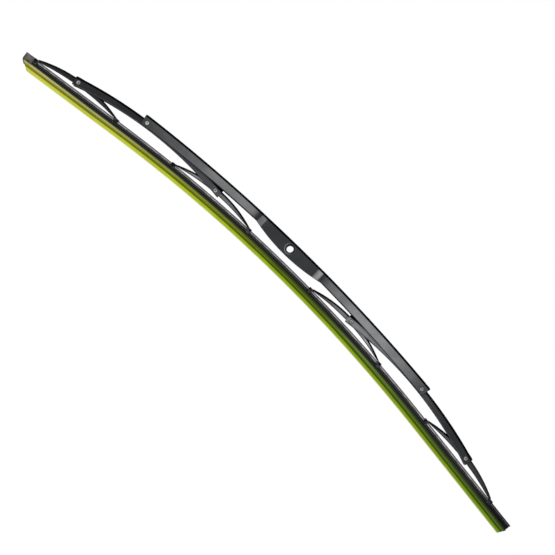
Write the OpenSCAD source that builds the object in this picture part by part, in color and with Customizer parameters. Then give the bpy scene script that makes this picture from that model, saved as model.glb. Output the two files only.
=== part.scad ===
// Bracket-type wiper blade: a pressed bridge, two levers and four claw yokes that
// spread the wiper arm's load over one rubber strip.
// X runs along the blade, Y is across it (the pins' direction) and Z points away
// from the glass. The origin is the middle of the arm pin's hole in the bridge.

/* [Bridge] */
// Length of the bridge over its top corners
bridge_len = 356; // [352:1:366]
// Outside width of the bridge
bridge_w = 14; // [13:0.5:18]
// Sheet thickness of the bridge
bridge_t = 1.2; // [0.9:0.1:1.4]
// Radius of the bridge's back, seen from the side
bridge_top_r = 1640; // [1500:10:1900]
// Height of the bridge's back above the arm pin
bridge_crown = 7.2; // [7:0.1:9]
// Radius of the lower edge of the walls
bridge_edge_r = 1440; // [1350:10:1600]
// Height of the walls beside the belly
bridge_wall = 9; // [8:0.1:10]
// Lean of the bridge's end cuts, in degrees
bridge_end_lean = 13; // [0:1:20]
// Outside width of the narrow waist that the arm grips
waist_w = 10.4; // [8:0.2:12]
// Length of the waist between its two steps
waist_len = 66; // [60:1:76]
// Length of the step from the waist to the full width
step_len = 5.2; // [4:0.2:8]
// Radius of the belly below the arm pin
belly_r = 182; // [150:1:220]
// Depth of the belly below the arm pin
belly_drop = 7; // [6:0.1:9]

/* [Arm pin hole] */
// Diameter of the hole for the wiper arm's pin
pin_hole_d = 6.4; // [4.8:0.1:6.8]
// Diameter of the dished ring around the hole
dish_d = 10; // [9:0.1:11]
// Depth of the dished ring
dish_depth = 0.5; // [0.2:0.1:0.8]

/* [Pivots] */
// Distance of the main pivots from the bridge's ends
main_in = 6; // [5:0.1:8]
// Depth of the main pivots below the bridge's back
main_sink = 6.25; // [6:0.05:6.6]
// Distance of the outer yokes' pivots from the arm pin
outer_x = 243; // [240:1:246]
// Depth of the outer yokes' pivots
outer_drop = 25.2; // [24.6:0.1:25.6]
// Distance of the inner yokes' pivots from the arm pin
inner_x = 85; // [83:1:87]
// Depth of the inner yokes' pivots
inner_drop = 8.9; // [8.5:0.1:9.4]

/* [Rivets and liners] */
// Diameter of the rivets' shanks
rivet_d = 3; // [2.4:0.1:3.4]
// Diameter of the rivets' heads
rivet_head_d = 4.4; // [4:0.1:5]
// Height of the main rivets' heads
rivet_head_h = 0.9; // [0.4:0.1:1.2]
// Height of the yoke rivets' heads
yoke_rivet_head_h = 0.5; // [0.3:0.1:0.55]
// Radial play between a rivet and what turns on it
rivet_play = 0.05; // [0.02:0.01:0.1]
// Wall thickness of the plastic liners
liner_t = 0.4; // [0.35:0.05:0.6]
// Play on each side of a liner
liner_play = 0.05; // [0.03:0.01:0.1]
// Length of a liner along the blade
liner_len = 6.5; // [5.5:0.5:7]
// Reach of a liner's cheeks below its pivot
liner_cheek = 2; // [1.8:0.1:2.4]

/* [Levers] */
// Sheet thickness of the levers
lever_t = 0.8; // [0.7:0.05:0.9]
// Outside bend radius of the levers
lever_bend = 1.8; // [1.4:0.1:2.4]
// Overhang of a lever past the inner yoke's pivot
lever_in_over = 4.5; // [4:0.1:6]
// Overhang of a lever past the outer yoke's pivot
lever_out_over = 5.4; // [5:0.1:7]
// Heights of the lever's back above the inner, main and outer pivots
lever_back_in = 4.8; // [4.7:0.1:5.2]
lever_back_main = 2.4; // [2.2:0.1:2.8]
lever_back_out = 4.9; // [4.5:0.1:5.2]
// Depths of the lever's lower edge below the inner, main and outer pivots
lever_edge_in = 2.8; // [2.5:0.1:3.2]
lever_edge_main = 4.3; // [4:0.1:4.6]
lever_edge_out = 3.9; // [3.6:0.1:4.2]

/* [Yokes] */
// Sheet thickness of the yokes
yoke_t = 0.8; // [0.7:0.05:1]
// Outside bend radius of the yokes
yoke_bend = 1.4; // [1.1:0.1:1.8]
// Height of a yoke's back above its pivot
yoke_back = 2.9; // [2.7:0.1:2.9]
// Depth of an inner yoke's lower edge below its pivot
inner_yoke_edge = 1.9; // [1.8:0.1:2.2]
// Depth of an outer yoke's lower edge below its pivot
outer_yoke_edge = 2.4; // [2.1:0.1:2.8]
// Distances of the four claws of one half from the arm pin
claw_1_x = 39; // [38:1:41]
claw_2_x = 129; // [127:1:131]
claw_3_x = 195; // [193:1:197]
claw_4_x = 285; // [283:1:287]
// Length of a claw along the strip
claw_len = 4.6; // [4:0.1:6]
// Play between a claw and the strip
claw_play = 0.2; // [0.1:0.05:0.3]
// Height of a yoke's tip above the strip, where it meets its claw
tip_rise = 0.9; // [0.7:0.05:1.2]

/* [Strip] */
// Depth of the strip's back below the arm pin
strip_drop = 12.2; // [11.8:0.1:12.8]
// Radius of the strip's curved middle
strip_r = 1454; // [1400:1:1550]
// Half the length of the curved middle; the ends run on straight
strip_bend_x = 186; // [170:1:190]
// End of the strip on the clip's side
strip_left = 296; // [294:1:300]
// Free end of the strip
strip_right = 313; // [300:1:330]
// Width of the strip's head
head_w = 6.4; // [6:0.1:7]
// Thickness of the head's top flange
head_top_h = 1; // [0.8:0.1:1.2]
// Height of the groove that holds a rail
rail_groove_h = 1; // [0.8:0.1:1.2]
// Width of the web between the two rail grooves
head_web_w = 2; // [1.6:0.1:2.6]
// Thickness of the flange below the rails
head_low_h = 1.1; // [0.9:0.1:1.4]
// Height of the groove that the claws reach into
claw_groove_h = 1.3; // [1.2:0.05:1.5]
// Width of the neck in the claws' groove
neck_w = 3; // [2.4:0.1:3.4]
// Width of the foot that holds the squeegee
foot_w = 5; // [4.6:0.1:5.6]
// Height of the foot
foot_h = 1.3; // [1.2:0.1:1.6]
// Width of the slot in the foot's underside
slot_w = 1.4; // [1.2:0.1:1.8]
// Width of the squeegee's key behind the slot
key_w = 3; // [2.4:0.1:3.4]
// Height of the slot, and of the key behind it
key_h = 0.5; // [0.4:0.05:0.55]
// Play of the key
key_play = 0.04; // [0.03:0.01:0.06]

/* [Rails] */
// Play of a rail in its groove, all round
rail_play = 0.05; // [0.02:0.01:0.1]
// Set-back of the rails from the ends of the strip
rail_short = 1.5; // [0.5:0.1:4]

/* [Squeegee] */
// Width of the squeegee's body below the foot
body_top_w = 4.2; // [3.8:0.1:4.6]
// Width of the body at its shoulders
body_low_w = 3.6; // [3:0.1:4]
// Height of the body
body_h = 3.9; // [3.4:0.1:4.6]
// Width of the wiping lip where it leaves the body
lip_top_w = 2; // [1.6:0.1:2.4]
// Width of the wiping edge
lip_edge_w = 0.8; // [0.6:0.1:1.2]
// Height of the wiping lip
lip_h = 3.9; // [3.2:0.1:4.4]
// Slant of the squeegee's free end, in degrees
squeegee_slant = 22; // [0:1:30]

/* [End clip] */
// Length of the end clip
clip_len = 9.4; // [8:0.1:9.8]
// Wall thickness of the end clip
clip_t = 0.6; // [0.5:0.05:0.8]
// Level below the strip's back from which the clip's tooth and the squeegee's end lean inwards
tooth_from = 6.6; // [6:0.1:7.5]
// Lean of the tooth, and of the squeegee's end behind it, in degrees
tooth_lean = 50; // [0:1:60]
// Depth of the tooth's tip below the strip's back
tooth_drop = 9.5; // [7:0.1:10]

/* [Hidden] */

// Facets of a whole turn: of the long arcs, the yokes' arcs and the small rounds
arc_fn = 1440;
yoke_fn = 360;
round_fn = 48;
// A little more than a cut needs, and a depth below everything
over = 2;
deep = 60;

// The three channels nest: each is narrower than the last by two liners
lever_gap = liner_t + 2 * liner_play;
lever_w = bridge_w - 2 * bridge_t - 2 * lever_gap;
yoke_w = lever_w - 2 * lever_t - 2 * lever_gap;

main_x = bridge_len / 2 - main_in;
main_pivot = [main_x, back_height(main_x) - main_sink];
outer_pivot = [outer_x, -outer_drop];
inner_pivot = [inner_x, -inner_drop];

// Levels of the strip's section, measured down from its back
rail_z = -head_top_h;
flange_z = rail_z - rail_groove_h;
groove_z = flange_z - head_low_h;
foot_z = groove_z - claw_groove_h;
body_z = foot_z - foot_h;
lip_z = body_z - body_h;
edge_z = lip_z - lip_h;

// Segments of the strip's curved middle, and steps of the lip's taper
strip_steps = 24;
lip_steps = 3;

// Circle through three points of the side view, as [centre x, centre z, radius]
function circle_through(a, b, c) =
    let (
        d = 2 * (a[0] * (b[1] - c[1]) + b[0] * (c[1] - a[1]) + c[0] * (a[1] - b[1])),
        aa = a * a,
        bb = b * b,
        cc = c * c,
        x = (aa * (b[1] - c[1]) + bb * (c[1] - a[1]) + cc * (a[1] - b[1])) / d,
        z = (aa * (c[0] - b[0]) + bb * (a[0] - c[0]) + cc * (b[0] - a[0])) / d
    )
    [x, z, norm(a - [x, z])];

// The same circle, larger or smaller by g
function grown(c, g) = [c[0], c[1], c[2] + g];

// Height of the strip's back and its tilt at x
function strip_tilt(x) = asin(max(-strip_bend_x, min(strip_bend_x, x)) / strip_r);
function strip_back(x) =
    let (ax = abs(x), bx = min(ax, strip_bend_x))
    -strip_drop - strip_r + sqrt(strip_r * strip_r - bx * bx) - (ax - bx) * tan(strip_tilt(ax));

// A claw's edge that faces the pivot of its yoke
function tip(x, side) = [x + side * claw_len / 2, strip_back(x + side * claw_len / 2) + tip_rise];
function heel(x, side) = [x + side * claw_len / 2, strip_back(x + side * claw_len / 2)];

function raised(p, h) = [p[0], p[1] + h];

// Height of the bridge's back at x
function back_height(x) = bridge_crown - bridge_top_r + sqrt(bridge_top_r * bridge_top_r - x * x);

bridge_back = [0, bridge_crown - bridge_top_r, bridge_top_r];
bridge_edge = [0, bridge_crown - bridge_wall - bridge_edge_r, bridge_edge_r];

lever_back = circle_through(
    raised(inner_pivot, lever_back_in),
    raised(main_pivot, lever_back_main),
    raised(outer_pivot, lever_back_out));
lever_edge = circle_through(
    raised(inner_pivot, -lever_edge_in),
    raised(main_pivot, -lever_edge_main),
    raised(outer_pivot, -lever_edge_out));

function yoke_back_arc(x1, pivot, x2) = circle_through(tip(x1, 1), raised(pivot, yoke_back), tip(x2, -1));
function yoke_edge_arc(x1, pivot, x2, h) = circle_through(heel(x1, 1), raised(pivot, -h), heel(x2, -1));

// Colours
black_paint = [0.13, 0.13, 0.14];
lever_paint = [0.16, 0.16, 0.17];
yoke_paint = [0.19, 0.19, 0.2];
zinc = [0.72, 0.72, 0.7];
liner_black = [0.07, 0.07, 0.07];
head_black = [0.1, 0.1, 0.1];
rail_steel = [0.55, 0.55, 0.56];
squeegee_green = [0.55, 0.66, 0.12];
clip_grey = [0.25, 0.25, 0.26];

// A cylinder across the blade at a point of the side view
module cross_pin(p, r, w, fn = round_fn) {
    translate([p[0], 0, p[1]])
        rotate([90, 0, 0])
            cylinder(r = r, h = w, center = true, $fn = fn);
}

// A circle of the side view, as a long cylinder
module cross_disc(c, w, fn = arc_fn) {
    cross_pin([c[0], c[1]], c[2], w, fn);
}

// Half-round shoulders of a channel, drawn with the radius along X
module shoulders(r, w, bend) {
    translate([r - deep, -w / 2])
        square([deep - bend, w]);
    translate([r - deep, -w / 2 + bend])
        square([deep, w - 2 * bend]);
    for (side = [-1, 1])
        translate([r - bend, side * (w / 2 - bend)])
            circle(r = bend, $fn = round_fn);
}

// A deep bar with rounded shoulders, swept along an arc from x0 to x1
module arched_bar(c, w, bend, x0, x1, fn = arc_fn) {
    a1 = acos((x1 - c[0]) / c[2]);
    a0 = acos((x0 - c[0]) / c[2]);
    translate([c[0], 0, c[1]])
        rotate([90, 0, 0])
            rotate([0, 0, a1])
                rotate_extrude(angle = a0 - a1, $fn = fn)
                    shoulders(c[2], w, bend);
}

// Sheet folded to a channel along an arc, open below and at both ends
module arched_channel(back, w, t, bend, x0, x1, fn = arc_fn) {
    difference() {
        arched_bar(back, w, bend, x0, x1, fn);
        arched_bar(grown(back, -t), w - 2 * t, bend - t, x0 - over, x1 + over, fn);
    }
}

// The bridge's outline from above, with its waist, inset by t and raised to a prism
module plan_prism(t) {
    far_x = bridge_len / 2 + over + t;
    step_x = waist_len / 2 + step_len;
    wide_y = bridge_w / 2 - t;
    waist_y = waist_w / 2 - t;
    edge = [
        [-far_x, wide_y], [-step_x, wide_y], [-waist_len / 2, waist_y],
        [waist_len / 2, waist_y], [step_x, wide_y], [far_x, wide_y]
    ];
    linear_extrude(height = 2 * deep, center = true)
        polygon(concat(edge, [for (i = [len(edge) - 1 : -1 : 0]) [edge[i][0], -edge[i][1]]]));
}

// The block under the bridge's back, inset by t on its top and its walls
module bridge_block(t) {
    intersection() {
        plan_prism(t);
        cross_disc(grown(bridge_back, -t), bridge_w + over);
    }
}

// Everything below the lower edge of the bridge, apart from the belly
module below_bridge() {
    difference() {
        cross_disc(bridge_edge, bridge_w + over);
        cross_disc([0, belly_r - belly_drop, belly_r], bridge_w + 2 * over, 720);
    }
}

// What the end cuts take off one end of the bridge
module bridge_end_cut(side) {
    x = bridge_len / 2;
    translate([side * x, 0, back_height(x)])
        rotate([0, side * bridge_end_lean, 0])
            translate([side * deep / 2, 0, 0])
                cube([deep, bridge_w + over, deep], center = true);
}

// The arm pin's dish on one wall: a ring raised on the inside, and its hollow outside
module dish_ring(side) {
    y = waist_w / 2 - bridge_t - dish_depth / 2;
    translate([0, side * y, 0])
        cross_pin([0, 0], dish_d / 2, dish_depth);
}

module dish_hollow(side) {
    translate([0, side * waist_w / 2, 0])
        rotate([side * 90, 0, 0])
            cylinder(r1 = dish_d - pin_hole_d / 2, r2 = pin_hole_d / 2, h = 2 * dish_depth,
                center = true, $fn = round_fn);
}

module primary_bridge() {
    color(black_paint)
        difference() {
            union() {
                difference() {
                    bridge_block(0);
                    bridge_block(bridge_t);
                }
                dish_ring(-1);
                dish_ring(1);
            }
            below_bridge();
            for (side = [-1, 1]) {
                bridge_end_cut(side);
                cross_pin([side * main_x, main_pivot[1]], rivet_d / 2, bridge_w + over);
                dish_hollow(side);
            }
            cross_pin([0, 0], pin_hole_d / 2, bridge_w + over);
        }
}

module lever_right() {
    color(lever_paint)
        difference() {
            arched_channel(lever_back, lever_w, lever_t, lever_bend,
                inner_x - lever_in_over, outer_x + lever_out_over);
            cross_disc(lever_edge, lever_w + over);
            cross_pin(main_pivot, rivet_d / 2 + rivet_play, lever_w + over);
            cross_pin(inner_pivot, rivet_d / 2, lever_w + over);
            cross_pin(outer_pivot, rivet_d / 2, lever_w + over);
        }
}

// The claw that holds the strip at x: a short saddle with two hooks under the flange
module claw(x) {
    in_y = head_w / 2 + claw_play;
    out_y = in_y + yoke_t;
    top_z = claw_play + yoke_t;
    hook_y = neck_w / 2 + claw_play;
    hook_z = groove_z - claw_play;
    low_z = hook_z - yoke_t;
    half = [
        [0, top_z], [out_y - yoke_t / 2, top_z], [out_y, top_z - yoke_t / 2],
        [out_y, low_z + yoke_t / 2], [out_y - yoke_t / 2, low_z], [hook_y, low_z],
        [hook_y, hook_z], [in_y, hook_z], [in_y, claw_play], [0, claw_play]
    ];
    translate([x, 0, strip_back(x)])
        rotate([0, strip_tilt(x), 0])
            for (side = [0, 1])
                mirror([0, side, 0])
                    rotate([90, 0, 90])
                        linear_extrude(height = claw_len, center = true)
                            polygon(half);
}

// The strip's envelope, which a yoke's walls stay clear of
module strip_space(play) {
    strip_sweep([[-yoke_w, -deep / 4], [-yoke_w, play], [yoke_w, play], [yoke_w, -deep / 4]],
        strip_left, strip_right);
}

// A yoke from claw x1 to claw x2
module yoke(x1, pivot, x2, edge_h) {
    back = yoke_back_arc(x1, pivot, x2);
    edge = yoke_edge_arc(x1, pivot, x2, edge_h);
    color(yoke_paint) {
        difference() {
            arched_channel(back, yoke_w, yoke_t, yoke_bend,
                x1 + claw_len / 4, x2 - claw_len / 4, yoke_fn);
            cross_disc(edge, yoke_w + over, yoke_fn);
            strip_space(claw_play);
            cross_pin(pivot, rivet_d / 2 + rivet_play, yoke_w + over);
        }
        claw(x1);
        claw(x2);
    }
}

module yoke_inner_right() {
    yoke(claw_1_x, inner_pivot, claw_2_x, inner_yoke_edge);
}

module yoke_outer_right() {
    yoke(claw_3_x, outer_pivot, claw_4_x, outer_yoke_edge);
}

// A rivet across a channel of width w, with a dimpled head at each end
module rivet(pivot, w, head_h) {
    r = rivet_head_d / 2;
    dimple_r = r / 3;
    color(zinc)
        translate([pivot[0], 0, pivot[1]])
            rotate([90, 0, 0])
                for (side = [0, 1])
                    mirror([0, 0, side])
                        rotate_extrude($fn = round_fn)
                            polygon([
                                [0, 0], [rivet_d / 2, 0], [rivet_d / 2, w / 2], [r, w / 2],
                                [r, w / 2 + head_h / 2], [r - head_h / 2, w / 2 + head_h],
                                [dimple_r, w / 2 + head_h], [0, w / 2 + head_h / 2]
                            ]);
}

// A plastic saddle over the back and cheeks of an inner channel of width w
module liner(back, pivot, w, bend) {
    outer_w = w + 2 * liner_play + 2 * liner_t;
    color(liner_black)
        difference() {
            arched_channel(grown(back, liner_play + liner_t), outer_w, liner_t,
                bend + liner_play + liner_t, pivot[0] - liner_len / 2, pivot[0] + liner_len / 2, yoke_fn * 2);
            translate([pivot[0], 0, pivot[1] - liner_cheek - deep])
                cube([2 * deep, outer_w + over, 2 * deep], center = true);
            cross_pin(pivot, rivet_d / 2 + rivet_play, outer_w + over);
        }
}

module main_liner() {
    liner(lever_back, main_pivot, lever_w, lever_bend);
}

module outer_liner() {
    liner(yoke_back_arc(claw_3_x, outer_pivot, claw_4_x), outer_pivot, yoke_w, yoke_bend);
}

module inner_liner() {
    liner(yoke_back_arc(claw_1_x, inner_pivot, claw_2_x), inner_pivot, yoke_w, yoke_bend);
}

// A section, listed as [y, z], swept along the strip from the left end to the right
module strip_sweep(section, left, right) {
    a = strip_tilt(strip_bend_x);
    z = strip_back(strip_bend_x);
    translate([0, 0, -strip_drop - strip_r])
        rotate([90, 0, 0])
            rotate([0, 0, 90 - a])
                rotate_extrude(angle = 2 * a, $fn = arc_fn)
                    polygon([for (p = section) [strip_r + p[1], p[0]]]);
    strip_end(section, 1, right);
    strip_end(section, -1, left);
}

// The straight run from the curved middle to one end of the strip
module strip_end(section, side, end) {
    translate([side * strip_bend_x, 0, strip_back(strip_bend_x)])
        rotate([0, side * strip_tilt(strip_bend_x), 0])
            rotate([90, 0, 90])
                mirror([0, 0, side > 0 ? 0 : 1])
                    linear_extrude(height = (end - strip_bend_x) / cos(strip_tilt(strip_bend_x)))
                        polygon(section);
}

// A point of the strip's middle, at an angle from its crown and a level below its back
function bend_point(a, level) =
    let (r = strip_r + level)
    [r * sin(a), -strip_drop - strip_r + r * cos(a)];

// A point at the end of the straight run on one side
function end_point(side, end, level) =
    let (a = strip_tilt(strip_bend_x), run = (end - strip_bend_x) / cos(a))
    bend_point(side * a, level) + run * [side * cos(a), -sin(a)];

// The line that runs along the strip at one level
function strip_line(level, left, right) =
    let (a = strip_tilt(strip_bend_x))
    concat(
        [end_point(-1, left, level)],
        [for (i = [0 : strip_steps]) bend_point(a * (2 * i / strip_steps - 1), level)],
        [end_point(1, right, level)]);

function reversed(list) = [for (i = [len(list) - 1 : -1 : 0]) list[i]];

// A bar along the strip between two levels and two widths
module strip_bar(low, high, y0, y1, left, right) {
    translate([0, y1, 0])
        rotate([90, 0, 0])
            linear_extrude(height = y1 - y0)
                polygon(concat(strip_line(high, left, right), reversed(strip_line(low, left, right))));
}

// The same, w wide and on the middle
module middle_bar(low, high, w) {
    strip_bar(low, high, -w / 2, w / 2, strip_left, strip_right);
}

module backing_strip() {
    color(head_black)
        difference() {
            union() {
                middle_bar(rail_z, 0, head_w);
                middle_bar(flange_z, rail_z, head_web_w);
                middle_bar(groove_z, flange_z, head_w);
                middle_bar(foot_z, groove_z, neck_w);
                middle_bar(body_z, foot_z, foot_w);
            }
            strip_bar(body_z + key_h, body_z + 2 * key_h, -key_w / 2, key_w / 2,
                strip_left + over, strip_right + over);
            strip_bar(body_z - over, body_z + key_h, -slot_w / 2, slot_w / 2,
                strip_left + over, strip_right + over);
        }
}

// One spring-steel rail in its groove
module rail(side) {
    in_y = head_web_w / 2 + rail_play;
    out_y = head_w / 2 - rail_play;
    color(rail_steel)
        strip_bar(flange_z + rail_play, rail_z - rail_play, min(side * in_y, side * out_y),
            max(side * in_y, side * out_y), strip_left - rail_short, strip_right - rail_short);
}

module rail_front() {
    rail(-1);
}

module rail_back() {
    rail(1);
}

// Bars below one another, with widths that run evenly from w0 to w1
module tapered_bar(low, high, w0, w1, steps) {
    for (i = [0 : steps - 1])
        middle_bar(high + (low - high) * (i + 1) / steps, high + (low - high) * i / steps,
            w0 + (w1 - w0) * i / (steps - 1));
}

module squeegee() {
    key_y = key_w / 2 - key_play;
    slot_y = slot_w / 2 - key_play;
    color(squeegee_green)
        difference() {
            union() {
                middle_bar(body_z + key_h + key_play, body_z + 2 * key_h - 2 * key_play, 2 * key_y);
                middle_bar(body_z - key_play, body_z + key_h + key_play, 2 * slot_y);
                tapered_bar(lip_z, body_z - key_play, body_top_w, body_low_w, 2);
                tapered_bar(edge_z, lip_z, lip_top_w, lip_edge_w, lip_steps);
            }
            tooth_side(clip_t + claw_play, -1);
            translate([strip_right, 0, strip_back(strip_right)])
                rotate([0, strip_tilt(strip_right), 0])
                    translate([0, 0, body_z])
                        rotate([0, squeegee_slant, 0])
                            translate([deep / 2, 0, 0])
                                cube([deep, head_w + over, 2 * deep], center = true);
        }
}

// Moves a child to the strip's left end, with X running inwards along the strip's back
module at_left_end() {
    translate([-strip_left, 0, strip_back(strip_left)])
        rotate([0, -strip_tilt(strip_left), 0])
            children();
}

// All that lies outside (-1) or inside (1) of the leaning plane g within the tooth's face
module tooth_side(g, side) {
    at_left_end()
        translate([-clip_t - claw_play, 0, -tooth_from])
            rotate([0, -tooth_lean, 0])
                translate([g + side * deep / 2, 0, 0])
                    cube([deep, 3 * head_w, 2 * deep], center = true);
}

// A cap pushed over the strip's left end, with a tooth along the squeegee's leaning end
module end_clip() {
    in_y = head_w / 2 + claw_play;
    top = claw_play + clip_t;
    color(clip_grey) {
        difference() {
            at_left_end()
                translate([-top, -in_y - clip_t, body_z])
                    cube([clip_len, 2 * (in_y + clip_t), top - body_z]);
            at_left_end()
                translate([-claw_play, -in_y, body_z - over])
                    cube([clip_len + over, 2 * in_y, claw_play - body_z + over]);
        }
        difference() {
            at_left_end()
                translate([-top, -body_top_w / 2, -tooth_drop])
                    cube([clip_len, body_top_w, tooth_drop + body_z + over]);
            tooth_side(0, -1);
            intersection() {
                tooth_side(clip_t, 1);
                at_left_end()
                    translate([-claw_play, -head_w, -deep])
                        cube([deep, 2 * head_w, 2 * deep]);
            }
        }
    }
}

primary_bridge();
mirror([1, 0, 0]) lever_right();  // lever_left
lever_right();
mirror([1, 0, 0]) yoke_outer_right();  // yoke_outer_left
mirror([1, 0, 0]) yoke_inner_right();  // yoke_inner_left
yoke_inner_right();
yoke_outer_right();
mirror([1, 0, 0]) rivet(main_pivot, bridge_w, rivet_head_h);  // rivet_main_left
rivet(main_pivot, bridge_w, rivet_head_h);  // rivet_main_right
mirror([1, 0, 0]) rivet(outer_pivot, lever_w, yoke_rivet_head_h);  // rivet_outer_left
rivet(outer_pivot, lever_w, yoke_rivet_head_h);  // rivet_outer_right
mirror([1, 0, 0]) rivet(inner_pivot, lever_w, yoke_rivet_head_h);  // rivet_inner_left
rivet(inner_pivot, lever_w, yoke_rivet_head_h);  // rivet_inner_right
mirror([1, 0, 0]) main_liner();  // liner_main_left
main_liner();  // liner_main_right
mirror([1, 0, 0]) outer_liner();  // liner_outer_left
outer_liner();  // liner_outer_right
mirror([1, 0, 0]) inner_liner();  // liner_inner_left
inner_liner();  // liner_inner_right
backing_strip();
rail_front();
rail_back();
squeegee();
end_clip();
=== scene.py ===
import math
import bmesh
import bpy
from mathutils import Matrix, Vector


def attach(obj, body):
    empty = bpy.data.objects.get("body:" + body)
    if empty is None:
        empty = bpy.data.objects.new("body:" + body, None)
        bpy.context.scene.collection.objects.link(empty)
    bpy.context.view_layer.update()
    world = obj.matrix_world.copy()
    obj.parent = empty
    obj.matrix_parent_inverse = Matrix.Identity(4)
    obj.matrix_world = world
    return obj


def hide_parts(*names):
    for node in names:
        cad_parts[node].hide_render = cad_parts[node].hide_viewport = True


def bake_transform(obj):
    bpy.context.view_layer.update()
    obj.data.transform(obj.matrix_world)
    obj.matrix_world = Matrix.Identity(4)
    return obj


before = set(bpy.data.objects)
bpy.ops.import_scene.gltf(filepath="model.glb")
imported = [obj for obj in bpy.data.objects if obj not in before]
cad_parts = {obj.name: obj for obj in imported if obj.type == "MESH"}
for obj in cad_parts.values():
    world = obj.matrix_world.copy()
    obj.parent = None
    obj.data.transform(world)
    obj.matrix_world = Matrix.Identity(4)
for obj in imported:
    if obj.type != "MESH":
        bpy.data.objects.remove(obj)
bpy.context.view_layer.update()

MM = 0.001

# The main sizes of the blade, in millimetres and degrees, as the solids have them

# The bridge: half its length, half its widths, its belly's arc, and the arm pin's hole in its dish
BRIDGE_HALF = 178.0
BRIDGE_Y = 7.0
BRIDGE_SHEET = 1.2
BRIDGE_BEND = 2.2
BRIDGE_LEAN = 13.0
WAIST_Y = 5.2
WAIST_HALF = 33.0
STEP = 5.2
BELLY_R = 182.0
BELLY_LOW = -7.0
BELLY_REACH = 60.0
PIN_R = 3.2
DISH_R = 5.0

# The levers and the yokes: half their widths, their sheet and its bend
LEVER_Y = 5.3
LEVER_SHEET = 0.8
LEVER_BEND = 1.8
LEVER_LEAN = 11.0
YOKE_Y = 4.0
YOKE_SHEET = 0.8
YOKE_BEND = 1.4

# The pivots' places on the right half, and where the claws grip
MAIN = (172.0, -8.0945)
OUTER = (243.0, -25.2)
INNER = (85.0, -8.9)
CLAWS = (39.0, 129.0, 195.0, 285.0)
CLAW_LENGTH = 4.6

# The strip: its back's height and arc, its ends, and its head's and its rubber's lowest heights
STRIP_TOP = -12.2
STRIP_R = 1454.0
STRIP_BEND = 186.0
STRIP_LEFT = 296.0
STRIP_RIGHT = 313.0
HEAD_LOW = -5.7
RUBBER_LOW = -13.4

# The clip on the strip's left end, and the leaning tooth below it
CLIP_WALL = 0.6
CLIP_LONG = 8.6
CLIP_OUT = 0.8
TOOTH_FROM = -6.6
TOOTH_LEAN = 50.0


# Side-view curves

def circle_through(a, b, c):
    """Centre and radius of the circle through three points of the side view."""
    d = 2 * (a[0] * (b[1] - c[1]) + b[0] * (c[1] - a[1]) + c[0] * (a[1] - b[1]))
    aa = a[0] ** 2 + a[1] ** 2
    bb = b[0] ** 2 + b[1] ** 2
    cc = c[0] ** 2 + c[1] ** 2
    x = (aa * (b[1] - c[1]) + bb * (c[1] - a[1]) + cc * (a[1] - b[1])) / d
    z = (aa * (c[0] - b[0]) + bb * (a[0] - c[0]) + cc * (b[0] - a[0])) / d
    return x, z, math.hypot(a[0] - x, a[1] - z)


def height_on(circle, x):
    """Height of the circle's upper half at x."""
    return circle[1] + math.sqrt(circle[2] ** 2 - (x - circle[0]) ** 2)


def raised(point, h):
    return point[0], point[1] + h


def strip_tilt(x):
    """The strip's slope at x in radians, positive where it falls to the right."""
    return math.asin(max(-STRIP_BEND, min(STRIP_BEND, x)) / STRIP_R)


def strip_back(x):
    """Height of the strip's back at x: an arc in the middle and straight ends."""
    bx = min(abs(x), STRIP_BEND)
    drop = STRIP_R - math.sqrt(STRIP_R ** 2 - bx ** 2)
    return STRIP_TOP - drop - (abs(x) - bx) * math.tan(abs(strip_tilt(x)))


def claw_tip(x, side, rise):
    """Where a yoke's arm ends over a claw, this far above the strip's back."""
    at = x + side * CLAW_LENGTH / 2
    return at, strip_back(at) + rise


BRIDGE_BACK = (0.0, 7.2 - 1640.0, 1640.0)
BRIDGE_EDGE = (0.0, -1.8 - 1440.0, 1440.0)
LEVER_BACK = circle_through(raised(INNER, 4.8), raised(MAIN, 2.4), raised(OUTER, 4.9))
LEVER_EDGE = circle_through(raised(INNER, -2.8), raised(MAIN, -4.3), raised(OUTER, -3.9))
INNER_BACK = circle_through(claw_tip(39, 1, 1.8), raised(INNER, 2.9), claw_tip(129, -1, 1.3))
INNER_EDGE = circle_through(claw_tip(39, 1, 0), raised(INNER, -1.9), claw_tip(129, -1, 0))
OUTER_BACK = circle_through(claw_tip(195, 1, 1.8), raised(OUTER, 2.9), claw_tip(285, -1, 2.2))
OUTER_EDGE = circle_through(claw_tip(195, 1, 0), raised(OUTER, -2.4), claw_tip(285, -1, 0))


# Modelling by hand: a box, shaped in edit mode

def box(name, low, high):
    """A box between two corners in millimetres, alone selected, with its place in its mesh."""
    bpy.ops.object.select_all(action="DESELECT")
    centre = [(a + b) / 2 * MM for a, b in zip(low, high)]
    size = [(b - a) * MM for a, b in zip(low, high)]
    bpy.ops.mesh.primitive_cube_add(size=1, location=centre, scale=size)
    bpy.ops.object.transform_apply(location=True, rotation=True, scale=True)
    obj = bpy.context.object
    obj.name = name
    obj.data.name = name
    return obj


def only(obj):
    bpy.ops.object.select_all(action="DESELECT")
    obj.select_set(True)
    bpy.context.view_layer.objects.active = obj


def pick(obj, kind, test):
    """Selects the vertices, edges or faces that pass a test of their place or normal."""
    bpy.ops.mesh.select_mode(type=kind)
    bpy.ops.mesh.select_all(action="DESELECT")
    shape = bmesh.from_edit_mesh(obj.data)
    for item in {"VERT": shape.verts, "EDGE": shape.edges, "FACE": shape.faces}[kind]:
        if test(item):
            item.select_set(True)
    bmesh.update_edit_mesh(obj.data)


def cut(place, normal, **more):
    """Cuts all of the shape in hand by a plane, given in millimetres."""
    bpy.ops.mesh.select_all(action="SELECT")
    co = [v * MM for v in place]
    bpy.ops.mesh.bisect(plane_co=co, plane_no=normal, **more)


def near(value, target, tolerance=0.003):
    """Whether a value in metres is at a target in millimetres, to a tolerance in millimetres."""
    return abs(value - target * MM) < tolerance * MM


def move(x=0.0, y=0.0, z=0.0):
    bpy.ops.transform.translate(value=(x * MM, y * MM, z * MM))


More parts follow.
